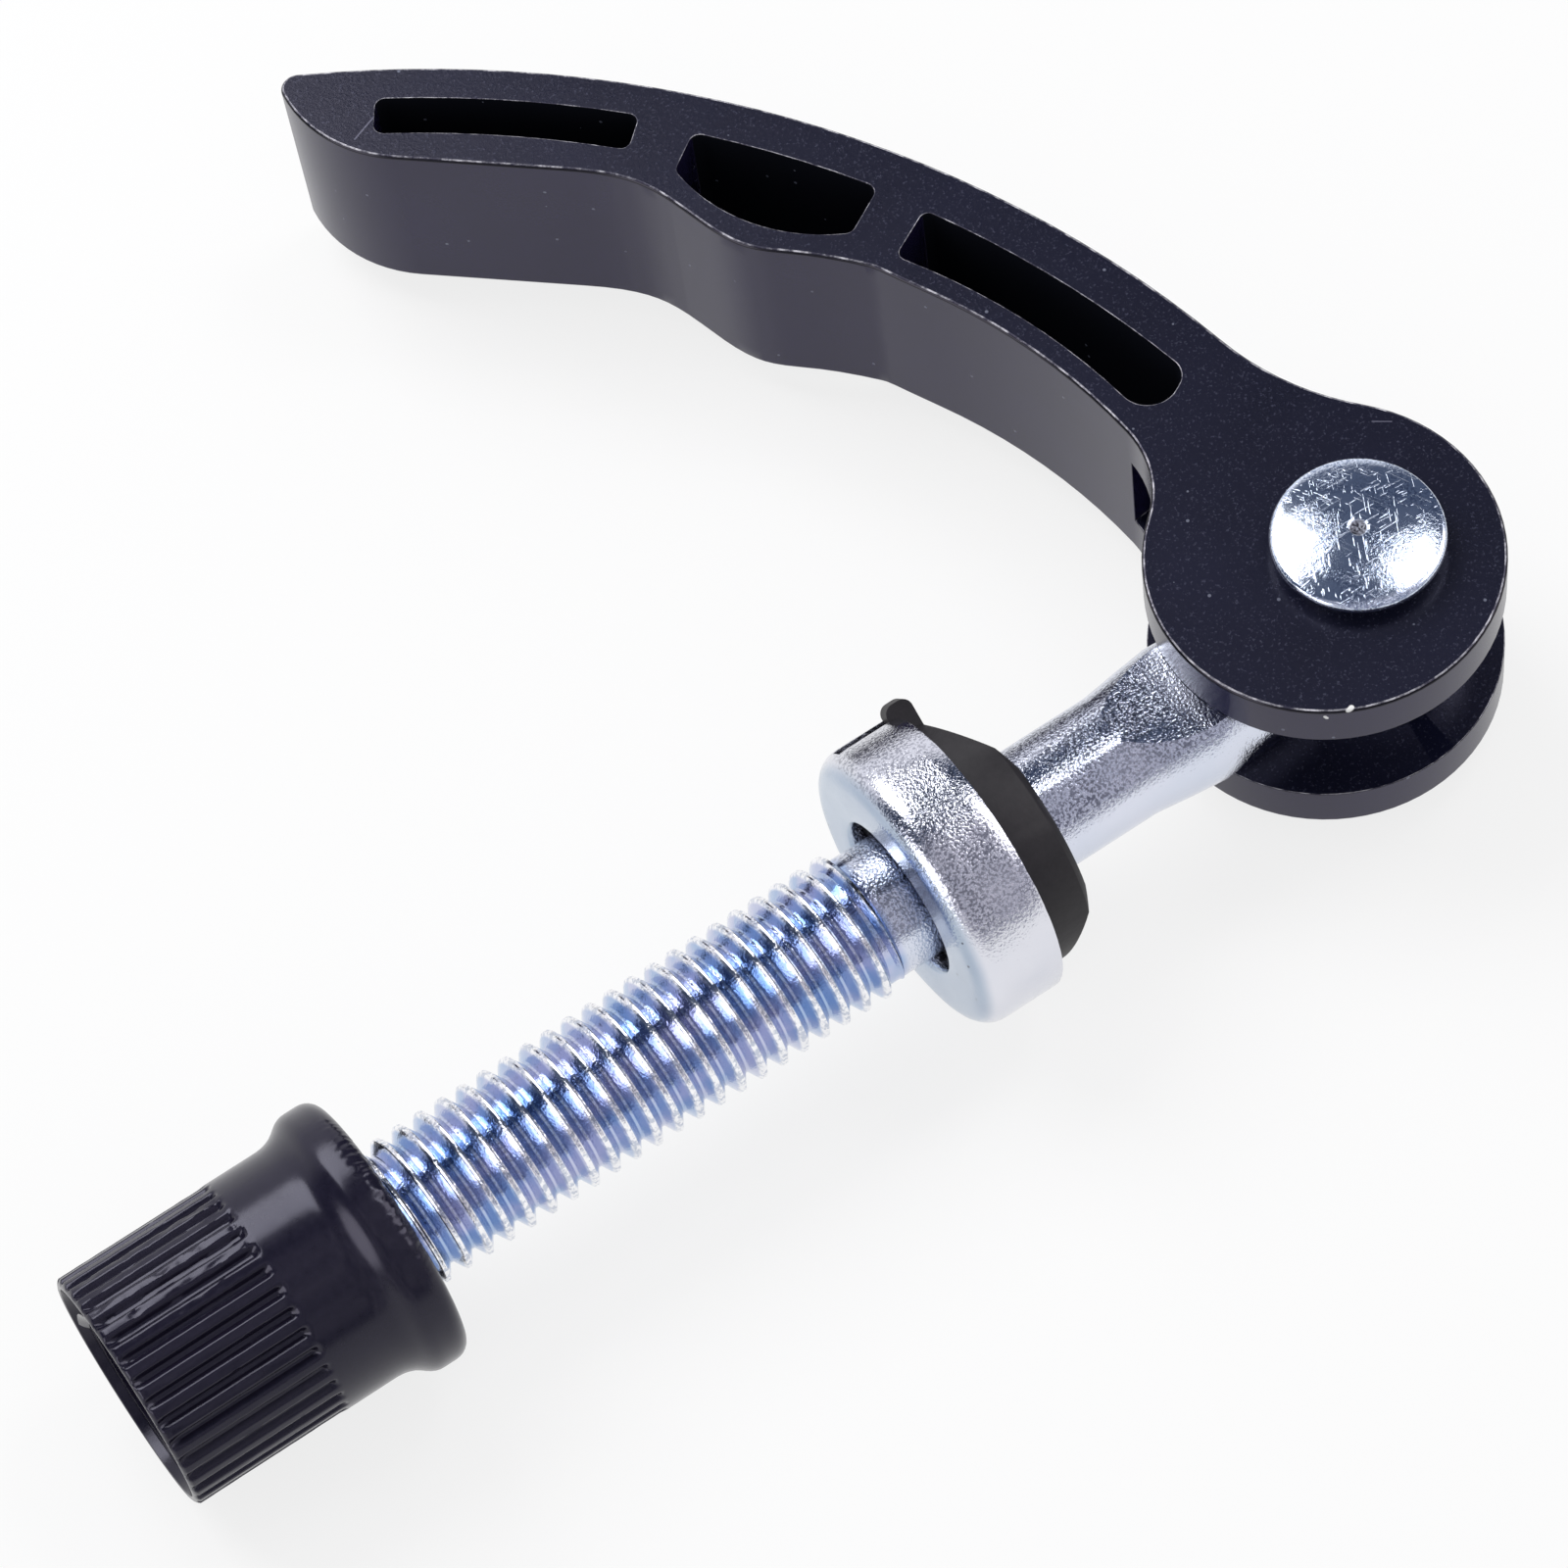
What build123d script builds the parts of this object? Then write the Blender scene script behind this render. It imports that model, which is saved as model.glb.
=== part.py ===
from build123d import *
import math
import os

os.makedirs("parts", exist_ok=True)

# Cam lever: an eccentric lever riveted to an eye bolt, with a keyed pair of
# washers and an adjusting nut on the bolt.
# Frame: X along the bolt towards the pivot, Z along the pivot's axis, Y towards
# the arm. The origin is the centre of the steel washer's clamping face.

# ---- fits shared by more than one piece ----
RUNNING = 0.05           # radial play of a turning or sliding fit
SIDE_PLAY = 0.045        # play between an ear and the eye, each side

# ---- pivot ----
pivot_x = 28.7           # pivot axis from the clamping face
pin_r = 2.5
lever_t = 11.2           # thickness of the lever
slot_w = 5.65            # width of the fork slot

# ---- lever: outline in its own frame, U along the arm, W to the finger side ----
clamped_angle = 117.4    # direction of the arm from +X when clamped
lobe_u = 1.34            # the lobe's centre is off the pivot: this is the cam
lobe_w = 1.15
lobe_r = 9.2
back_r = 62.2            # long outer arc, through its two ends
back_root_u = 5.2
back_root_w = -5.57
tip_u = 65.15
tip_w = -1.51
# thickness of the arm over the outer arc, from the tip to the neck
finger_u = 56.6
finger_h = 6.49
bump_u = 48.0            # straight finger edge ends and the bump begins
bump_h = 6.32
bump_side = [(43.6, 6.41), (40.2, 7.63), (36.9, 8.44), (33.8, 7.76), (30.6, 7.03)]
palm_u = 27.0
palm_h = 6.96
neck_u = 9.6
neck_h = 8.53
palm_r = 35.0            # inner arc between bump and neck
back_blend_r = 15.0      # outer arc into the lobe
neck_blend_r = 6.0       # inner arc into the lobe
tip_round_r = 0.9
edge_break = 0.12        # small chamfer round the outline of the sawn faces
cutter_u = -5.5          # slotting saw that parts the two ears
cutter_w = 5.5
cutter_r = 20.0

# ---- lever: the three pockets through the arm ----
web_w = 2.9              # metal left between two pockets
slot_1_rim = 2.0         # metal left at the back
slot_1_h = 2.25
slot_1_tip_u = 58.9
slot_1_corner_r = 0.55
slot_2_rim = 2.45
slot_2_tip_u = 42.85
slot_2_tip_h = 2.56
slot_2_crown_u = 37.2    # domed under the finger bump
slot_2_crown_h = 4.53
slot_2_root_u = 32.3
slot_2_root_h = 3.1
slot_2_lean = 0.3        # the two ends lean towards the pivot
slot_2_corner_r = 0.6
slot_3_rim = 2.65
slot_3_palm_rim = 1.25
slot_3_root_u = 12.5
slot_3_tip_r = 0.5
slot_3_back_r = 1.2
slot_3_neck_r = 1.6

# ---- rivet ----
head_r = 4.49
head_top = 7.43
head_foot_r = 3.5        # narrower where it meets the ear
rim_low = 6.45
rim_high = 6.95
dimple_r = 0.85
dimple_depth = 0.3
tail_r = 3.7
tail_h = 1.45

# ---- eye bolt ----
eye_r = 6.0
shank_r = 3.45
neck_r = 3.92            # forged swell of the shank next to the eye
thread_r = 3.95
thread_start = -2.8
thread_end = -43.3
thread_point = 0.9       # chamfer of the end
thread_pitch = 1.25
thread_root_r = 3.3
thread_sides = 24
thread_land = 0.3        # plain band at each end of the thread
flat_end = -13.0         # end of the flattened part, from the pivot
round_end = -20.0        # the shank is fully round from here on
swell_end = -16.5        # the swell of the neck runs out here
neck_half_w = 2.4        # flat of the neck beside the eye
neck_fillet_r = 3.0
neck_waist = 0.18        # the neck gets slimmer again between the ears
neck_stop = 1.5          # the round neck ends this far from the pin

# ---- washers ----
cup_r = 7.95
cup_h = 4.6
cup_wall = 1.15
cup_hole_r = 4.35
cup_round = 1.35         # rounding of the clamping face's outer edge
hole_round = 0.25
rim_break = 0.15
key_angle = 37.0         # from +Y towards +Z
key_slot_w = 1.15
key_slot_front = 1.0     # metal left in front of the key slot
saddle_r = 7.0
saddle_h = 2.75          # plastic standing out of the cup
saddle_bore_r = 4.1
saddle_break = 0.4
trough_r = 9.2
trough_web = 0.8
tab_r = 8.6              # reach of the key's tab, outside the cup
rib_depth = 0.55         # the key's rib stays this far inside the cup

# ---- adjusting nut ----
nut_face = -30.25        # flange face, towards the washers
nut_end = -45.6          # open end
knurl_r = 6.45
knurl_n = 34
knurl_end = -36.9
knurl_phase = 93.4       # centre of one groove, from +Y towards +Z
groove_w = 0.74
groove_floor_w = 0.3
groove_depth = 0.33
groove_runout = 0.45
bell_r = 6.5
flare_r = 7.35
nut_bore_r = thread_r + RUNNING
bore_lead = 0.45         # chamfer of the bore at the flange
dish_r = 5.9
dish_depth = 0.5


def arc_centre(p, q, radius):
    """Centre, on the upper side, of the circle through two points."""
    du = q[0] - p[0]
    dw = q[1] - p[1]
    chord = math.hypot(du, dw)
    rise = math.sqrt(radius**2 - chord**2 / 4)
    mid_u = (p[0] + q[0]) / 2
    mid_w = (p[1] + q[1]) / 2
    return (mid_u - rise * dw / chord, mid_w + rise * du / chord)


def circle_w(centre, radius, u):
    """The lower W of a circle at U."""
    return centre[1] - math.sqrt(radius**2 - (u - centre[0]) ** 2)


def lower_arc(centre, radius, u0, u1):
    """Arc of a circle's lower side between two values of U."""
    stops = [(u, circle_w(centre, radius, u)) for u in (u0, (u0 + u1) / 2, u1)]
    return ThreePointArc(*stops)


def on_lobe(vertex):
    """True for a corner that lies on the lobe's circle."""
    reach = math.hypot(vertex.X - lobe_u, vertex.Y - lobe_w)
    return abs(reach - lobe_r) < 1e-4


def ring_along_x(profile):
    """Turn a profile of (x, r) points about the bolt's axis."""
    wire = Polyline(*[(x, r, 0) for x, r in profile], close=True)
    return revolve(make_face(wire), Axis.X, 360)


# ---------------------------------------------------------------- lever
back_root = (back_root_u, back_root_w)
tip_corner = (tip_u, tip_w)
back_c = arc_centre(back_root, tip_corner, back_r)


def above_back(u, height, rim=0.0):
    """Point at a height over the outer arc, or over an arc inside it."""
    return (u, circle_w(back_c, back_r - rim, u) + height)


finger_corner = above_back(finger_u, finger_h)
bump_start = above_back(bump_u, bump_h)
finger_slope = (finger_corner[1] - bump_start[1]) / (finger_u - bump_u)
palm_end = above_back(palm_u, palm_h)
palm_root = above_back(neck_u, neck_h)
palm_c = arc_centre(palm_root, palm_end, palm_r)
palm_slope = (palm_end[0] - palm_c[0]) / (palm_c[1] - palm_end[1])

back_edge = lower_arc(back_c, back_r, back_root_u, tip_u)
tip_edge = TangentArc(finger_corner, tip_corner, tangent=(1, finger_slope))
finger_edge = Line(finger_corner, bump_start)
bump_edge = Spline(
    bump_start,
    *[above_back(u, h) for u, h in bump_side],
    palm_end,
    tangents=[(-1, -finger_slope), (-1, -palm_slope)],
)
palm_edge = lower_arc(palm_c, palm_r, palm_u, neck_u)
inside_lobe = Line(palm_root, back_root)
arm = make_face([back_edge, tip_edge, finger_edge, bump_edge, palm_edge, inside_lobe])
# the circle is turned so that it starts inside the arm
outline = arm + Pos(lobe_u, lobe_w) * Rot(0, 0, -25) * Circle(lobe_r)
neck_corner = outline.vertices().filter_by(on_lobe).sort_by(Axis.Y)[-1]
outline = fillet(neck_corner, neck_blend_r)
back_corner = outline.vertices().filter_by(on_lobe).sort_by(Axis.Y)[0]
outline = fillet(back_corner, back_blend_r)
outline = fillet(outline.vertices().sort_by(Axis.X)[-1], tip_round_r)

# first pocket: a slot that follows the back
slot_1_out = back_r - slot_1_rim
slot_1_mid = slot_1_out - slot_1_h / 2
slot_1_root = (slot_2_tip_u + web_w - back_c[0]) / slot_1_mid
slot_1_tip = (slot_1_tip_u - back_c[0]) / slot_1_mid
slot_1_from = -math.degrees(math.acos(slot_1_root))
slot_1_span = -math.degrees(math.acos(slot_1_tip)) - slot_1_from
low_1 = CenterArc(back_c, slot_1_out, slot_1_from, slot_1_span)
high_1 = CenterArc(back_c, slot_1_out - slot_1_h, slot_1_from, slot_1_span)
pocket_1 = make_face(
    [low_1, high_1, Line(low_1 @ 0, high_1 @ 0), Line(low_1 @ 1, high_1 @ 1)]
)
pocket_1 = fillet(pocket_1.vertices(), slot_1_corner_r)

# second pocket: domed towards the finger bump
low_2 = lower_arc(back_c, back_r - slot_2_rim, slot_2_root_u, slot_2_tip_u)
crown = above_back(slot_2_crown_u, slot_2_crown_h, slot_2_rim)
tip_high = above_back(slot_2_tip_u - slot_2_lean, slot_2_tip_h, slot_2_rim)
root_high = above_back(slot_2_root_u - slot_2_lean / 3, slot_2_root_h, slot_2_rim)
pocket_2 = make_face(
    [
        low_2,
        Line(low_2 @ 1, tip_high),
        ThreePointArc(tip_high, crown, root_high),
        Line(root_high, low_2 @ 0),
    ]
)
pocket_2 = fillet(pocket_2.vertices(), slot_2_corner_r)

# third pocket: between the back and the palm, rounded at the neck
slot_3_tip_u = slot_2_root_u - web_w
low_3 = lower_arc(back_c, back_r - slot_3_rim, slot_3_root_u, slot_3_tip_u)
high_3 = lower_arc(palm_c, palm_r + slot_3_palm_rim, slot_3_root_u, slot_3_tip_u)
pocket_3 = make_face(
    [low_3, high_3, Line(low_3 @ 0, high_3 @ 0), Line(low_3 @ 1, high_3 @ 1)]
)
pocket_3 = fillet(pocket_3.vertices().sort_by(Axis.X)[-2:], slot_3_tip_r)
root_3 = pocket_3.vertices().sort_by(Axis.X)[:2].sort_by(Axis.Y)
pocket_3 = fillet(root_3[0], slot_3_back_r)
root_3 = pocket_3.vertices().sort_by(Axis.X)[:2].sort_by(Axis.Y)
pocket_3 = fillet(root_3[-1], slot_3_neck_r)

profile = outline - pocket_1 - pocket_2 - pocket_3
lever = extrude(profile, lever_t / 2, both=True)
sawn_faces = [lever.faces().sort_by(Axis.Z)[k] for k in (0, -1)]
lever = chamfer([e for f in sawn_faces for e in f.outer_wire().edges()], edge_break)
lever -= Pos(cutter_u, cutter_w) * Cylinder(cutter_r, slot_w)
lever -= Cylinder(pin_r, lever_t + 2)
lever = Pos(pivot_x, 0, 0) * Rot(0, 0, clamped_angle) * lever

# ---------------------------------------------------------------- rivet
ear_face = lever_t / 2
rivet_half = make_face(
    Polyline(
        (0, -ear_face - tail_h),
        (tail_r * 0.7, -ear_face - tail_h),
        (tail_r, -ear_face),
        (pin_r, -ear_face),
        (pin_r, ear_face),
        (head_foot_r, ear_face),
        (head_r, rim_low),
        (head_r, rim_high),
        (dimple_r, head_top),
        (0, head_top - dimple_depth),
        close=True,
    )
)
rivet_half = Plane.XZ * rivet_half
pivot_pin = Pos(pivot_x, 0, 0) * revolve(rivet_half, Axis.Z, 360)

# ---------------------------------------------------------------- eye bolt
eye_t = slot_w - 2 * SIDE_PLAY
# the thread's ridges stand at their pitch, as rings with few flat sides
flank_h = (thread_r - thread_root_r) * math.cos(math.pi / thread_sides)
flank_angle = math.degrees(math.atan(2 * flank_h / thread_pitch))
crest_ring = Plane.YZ * RegularPolygon(thread_r, thread_sides)
flank = extrude(crest_ring, thread_pitch / 2, taper=flank_angle)
ridge = flank + mirror(flank, Plane.YZ)
first_crest = thread_end + thread_point + thread_land
crests = math.floor((thread_start - thread_land - first_crest) / thread_pitch)
last_crest = first_crest + crests * thread_pitch
thread = Part() + [
    Pos(first_crest + k * thread_pitch, 0, 0) * ridge for k in range(crests + 1)
]
core_r = thread_root_r / 2
neck_x = pivot_x + flat_end
bolt = ring_along_x(
    [
        (thread_end, 0),
        (thread_end, thread_r - thread_point),
        (thread_end + thread_point, thread_r),
        (first_crest, thread_r),
        (first_crest, core_r),
        (last_crest, core_r),
        (last_crest, thread_r),
        (last_crest + thread_land, thread_r),
        (thread_start, shank_r),
        (pivot_x + swell_end, shank_r),
        (neck_x - 1.2, neck_r - neck_waist),
        (neck_x + 0.5, neck_r),
        (neck_x + 5.3, neck_r - neck_waist),
        (pivot_x - pin_r - neck_stop, neck_r - 3 * neck_waist),
        (pivot_x - pin_r - neck_stop, 0),
    ]
)
# the forging dies flatten the shank next to the eye
ramp_top = neck_r + 0.1
eye_half = eye_t / 2
ramp_start = (round_end, ramp_top)
ramp = make_face(
    [
        Line((flat_end, eye_half), (0, eye_half)),
        Line((0, eye_half), (0, 2 * neck_r)),
        Line((0, 2 * neck_r), (round_end, 2 * neck_r)),
        Line((round_end, 2 * neck_r), ramp_start),
        Spline(ramp_start, (flat_end, eye_half), tangents=[(1, -0.2), (1, -0.02)]),
    ]
)
ramp_above = Pos(pivot_x, 0, 0) * extrude(Plane.XZ * ramp, 2 * neck_r, both=True)
bolt -= ramp_above
bolt -= mirror(ramp_above, Plane.XY)
neck_l = eye_r + neck_fillet_r
eye_outline = Circle(eye_r) + Pos(-neck_l / 2, 0) * Rectangle(neck_l, 2 * neck_half_w)
eye_corners = eye_outline.vertices().filter_by(lambda v: -eye_r < v.X < -eye_r / 2)
eye_outline = fillet(eye_corners, neck_fillet_r)
eye = Pos(pivot_x, 0, 0) * extrude(eye_outline, eye_half, both=True)
eye_bolt = bolt + thread + eye
eye_bolt -= Pos(pivot_x, 0, 0) * Cylinder(pin_r + RUNNING, eye_t + 2)

# ---------------------------------------------------------------- steel washer
steel_washer = ring_along_x(
    [
        (hole_round, cup_hole_r),
        (0, cup_hole_r + hole_round),
        (0, cup_r - cup_round),
        (cup_round * 0.28, cup_r - cup_round * 0.28),
        (cup_round, cup_r),
        (cup_h - rim_break, cup_r),
        (cup_h, cup_r - rim_break),
        (cup_h, cup_r - cup_wall),
        (cup_wall, cup_r - cup_wall),
        (cup_wall, cup_hole_r),
    ]
)
key_slot = Pos((key_slot_front + cup_h + 1) / 2, cup_r, 0) * Box(
    cup_h + 1 - key_slot_front, 2 * cup_wall + 0.6, key_slot_w
)
steel_washer -= Rot(key_angle, 0, 0) * key_slot

# ---------------------------------------------------------------- cam washer
plug_r = cup_r - cup_wall - RUNNING
plug_front = cup_wall + RUNNING
saddle_back = cup_h + saddle_h
cam_washer = ring_along_x(
    [
        (plug_front, saddle_bore_r),
        (plug_front, plug_r),
        (cup_h + RUNNING, plug_r),
        (cup_h + RUNNING, saddle_r),
        (saddle_back - saddle_break, saddle_r),
        (saddle_back, saddle_r - saddle_break),
        (saddle_back, saddle_bore_r),
    ]
)
trough_x = cup_h + trough_web + trough_r
trough = Pos(trough_x, 0, 0) * Rot(90, 0, 0) * Cylinder(trough_r, 4 * saddle_r)
cam_washer -= Rot(key_angle, 0, 0) * trough
key_t = key_slot_w - 2 * RUNNING
rib_r = cup_r - rib_depth
rib = Pos((plug_front + cup_h) / 2, (saddle_bore_r + 1 + rib_r) / 2, 0) * Box(
    cup_h - plug_front, rib_r - saddle_bore_r - 1, key_t
)
tab_back = cup_h + trough_web + 0.15
tab_front = cup_h - rib_depth
tab = Pos((tab_front + tab_back) / 2, (saddle_bore_r + 1 + tab_r) / 2, 0) * Box(
    tab_back - tab_front, tab_r - saddle_bore_r - 1, key_t
)
tab = fillet(tab.edges().filter_by(Axis.Z).sort_by(Axis.Y)[-2:], rib_depth)
cam_washer += Rot(key_angle, 0, 0) * (rib + tab)

# ---------------------------------------------------------------- adjusting nut
nut = ring_along_x(
    [
        (nut_end, dish_r),
        (nut_end, knurl_r - 0.25),
        (nut_end + 0.25, knurl_r),
        (knurl_end, knurl_r),
        (knurl_end, bell_r),
        (nut_face - 3.5, bell_r),
        (nut_face - 2.75, bell_r + 0.25),
        (nut_face - 1.8, flare_r),
        (nut_face - 0.5, flare_r),
        (nut_face, flare_r - 0.6),
        (nut_face, nut_bore_r + bore_lead),
        (nut_face - bore_lead, nut_bore_r),
        (nut_end + dish_depth, nut_bore_r),
    ]
)
groove_envelope = ring_along_x(
    [
        (nut_end - 1, knurl_r - groove_depth),
        (nut_end - 1, knurl_r + 1),
        (knurl_end, knurl_r + 1),
        (knurl_end, knurl_r),
        (knurl_end - groove_runout, knurl_r - groove_depth),
    ]
)
groove_over = 0.6        # the cutter stands out of the knurl by this
groove_low = knurl_r - groove_depth - 0.1
groove_high = knurl_r + groove_over
half_growth = (groove_w - groove_floor_w) / 2 / groove_depth
low_half = groove_floor_w / 2 - 0.1 * half_growth
high_half = groove_w / 2 + groove_over * half_growth
groove_section = make_face(
    Polyline(
        (groove_low, -low_half),
        (groove_high, -high_half),
        (groove_high, high_half),
        (groove_low, low_half),
        close=True,
    )
)
groove = extrude(Plane.YZ * groove_section, nut_end - 2 - knurl_end)
groove = Pos(knurl_end + 0.5, 0, 0) * groove
grooves = [
    Rot(knurl_phase + k * 360 / knurl_n, 0, 0) * (groove) for k in range(knurl_n)
]
knurl = groove_envelope & Compound(children=grooves)
adjusting_nut = nut - knurl

export_step(lever, "parts/lever.step")
export_step(pivot_pin, "parts/pivot_pin.step")
export_step(eye_bolt, "parts/eye_bolt.step")
export_step(cam_washer, "parts/cam_washer.step")
export_step(steel_washer, "parts/steel_washer.step")
export_step(adjusting_nut, "parts/adjusting_nut.step")
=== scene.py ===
import bpy
import math
from mathutils import Vector, Matrix, noise


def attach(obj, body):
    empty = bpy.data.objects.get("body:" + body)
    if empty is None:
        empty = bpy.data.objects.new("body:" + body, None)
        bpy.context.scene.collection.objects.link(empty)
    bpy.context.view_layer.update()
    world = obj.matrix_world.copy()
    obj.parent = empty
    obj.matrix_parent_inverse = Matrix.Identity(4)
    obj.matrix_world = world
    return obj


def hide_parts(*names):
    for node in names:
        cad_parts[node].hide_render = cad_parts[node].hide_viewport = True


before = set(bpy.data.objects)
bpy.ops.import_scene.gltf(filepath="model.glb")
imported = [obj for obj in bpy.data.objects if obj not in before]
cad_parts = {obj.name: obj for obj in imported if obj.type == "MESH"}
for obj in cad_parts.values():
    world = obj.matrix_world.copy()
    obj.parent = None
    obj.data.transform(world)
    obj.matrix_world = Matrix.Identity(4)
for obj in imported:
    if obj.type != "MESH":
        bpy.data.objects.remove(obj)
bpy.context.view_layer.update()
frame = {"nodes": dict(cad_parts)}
nodes = frame["nodes"]
MM = 0.001

# sizes of the real piece, in millimetres
PIVOT_X = 28.7
THREAD_R = 3.94
THREAD_PITCH = 1.25
THREAD_ROOT = 3.24
THREAD_START = -2.8
THREAD_END = -43.3
RUN_OUT_START = THREAD_START + 0.4      # the last turn sinks into the shank from here
RUN_OUT_END = THREAD_START + 1.3
THREAD_CREST_X = -28.834      # one crest on the +Y side
FACING_GAP = 9.0              # walls of the lever that stand this close face each other
NUT_FACE = -30.25
NUT_END = -45.6
KNURL_R = 6.45
KNURL_N = 34
KNURL_END = -36.9
KNURL_PHASE = math.radians(93.4)
GROOVE_DEPTH = 0.33
GROOVE_STEP = 2 * math.pi / KNURL_N
BELL_R = 6.5
FLARE_R = 7.35
NUT_BORE_R = 4.28
LEVER_TOP = 5.6
FLOOR_Z = -7.96               # the part rests on its washers


def mix(a, b, t):
    return a + (b - a) * t


def smooth(a, b, x):
    t = min(1.0, max(0.0, (x - a) / (b - a)))
    return t * t * (3 - 2 * t)


def on_side(angle, start, full, last, end):
    """1 between two directions round the bolt, in degrees, fading to 0 outside."""
    rise = smooth(math.radians(start), math.radians(full), angle)
    return rise * smooth(math.radians(end), math.radians(last), angle)


# ------------------------------------------------------------ modelling helpers
def only(obj):
    """Select one object and nothing else."""
    bpy.ops.object.select_all(action="DESELECT")
    obj.select_set(True)
    bpy.context.view_layer.objects.active = obj


def edit_all(obj):
    only(obj)
    bpy.ops.object.mode_set(mode="EDIT")
    bpy.ops.mesh.select_all(action="SELECT")


def object_mode():
    bpy.ops.object.mode_set(mode="OBJECT")


def merged_copy(node, name):
    """A copy of a solid with its loose triangles joined, ready to be dressed."""
    obj = bpy.data.objects.new(name, nodes[node].data.copy())
    bpy.context.scene.collection.objects.link(obj)
    edit_all(obj)
    bpy.ops.mesh.remove_doubles(threshold=0.000002)
    object_mode()
    bpy.ops.mesh.customdata_custom_splitnormals_clear()
    return obj


def close_up(obj, angle=35):
    """Join doubles, turn the faces outward and smooth what is not an edge."""
    edit_all(obj)
    bpy.ops.mesh.remove_doubles(threshold=0.000003)
    bpy.ops.mesh.normals_make_consistent(inside=False)
    object_mode()
    bpy.ops.object.shade_smooth_by_angle(angle=math.radians(angle))


def turned(name, profile, steps, axis):
    """Spin a profile round the X or the Z axis, which starts as a drawn line."""
    mesh = bpy.data.meshes.new(name)
    if axis == "X":
        points = [(x * MM, r * MM, 0) for x, r in profile]
        line = (1, 0, 0)
    else:
        points = [(r * MM, 0, z * MM) for z, r in profile]
        line = (0, 0, 1)
    mesh.from_pydata(points, [(i, i + 1) for i in range(len(points) - 1)], [])
    obj = bpy.data.objects.new(name, mesh)
    bpy.context.scene.collection.objects.link(obj)
    edit_all(obj)
    bpy.ops.mesh.spin(steps=steps, angle=2 * math.pi, center=(0, 0, 0), axis=line)
    bpy.ops.mesh.select_all(action="SELECT")
    bpy.ops.mesh.remove_doubles(threshold=0.000003)
    bpy.ops.mesh.normals_make_consistent(inside=False)
    object_mode()
    return obj


def coil(name, tooth, first_x, last_x, steps):
    """Wind a closed tooth section round the bolt's axis with the Screw modifier."""
    turns = math.ceil((last_x - first_x) / THREAD_PITCH)
    shift = (first_x - THREAD_CREST_X) % THREAD_PITCH
    start = first_x - shift
    mesh = bpy.data.meshes.new(name)
    points = [((start + x) * MM, r * MM, 0) for x, r in tooth]
    count = len(points)
    mesh.from_pydata(points, [(i, (i + 1) % count) for i in range(count)], [])
    obj = bpy.data.objects.new(name, mesh)
    bpy.context.scene.collection.objects.link(obj)
    screw = obj.modifiers.new("wind", "SCREW")
    screw.axis = "X"
    screw.angle = 2 * math.pi
    screw.screw_offset = THREAD_PITCH * MM
    screw.iterations = turns + 1
    screw.steps = steps
    screw.render_steps = steps
    screw.use_merge_vertices = True
    screw.merge_threshold = 0.000001
    only(obj)
    bpy.ops.object.modifier_apply(modifier="wind")
    edit_all(obj)
    bpy.ops.mesh.select_all(action="DESELECT")
    bpy.ops.mesh.select_mode(type="EDGE")
    bpy.ops.mesh.select_non_manifold()
    bpy.ops.mesh.fill()
    bpy.ops.mesh.select_mode(type="VERT")
    object_mode()
    return obj


def join(parts, name):
    bpy.ops.object.select_all(action="DESELECT")
    for part in parts:
        part.select_set(True)
    bpy.context.view_layer.objects.active = parts[0]
    bpy.ops.object.join()
    parts[0].name = name
    return parts[0]


def polar(v):
    """Radius in mm and angle from +Y towards +Z."""
    return math.hypot(v.co.y, v.co.z) / MM, math.atan2(v.co.z, v.co.y)


def set_radius(v, r, angle):
    v.co.y = r * MM * math.cos(angle)
    v.co.z = r * MM * math.sin(angle)


def dress(obj, node, body):
    """Hand a finished piece to its body and let it stand for its solid."""
    obj.data.materials.clear()
    obj.data.materials.append(finishes[node])
    for polygon in obj.data.polygons:
        polygon.material_index = 0
    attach(obj, body)
    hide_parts(node)


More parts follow.
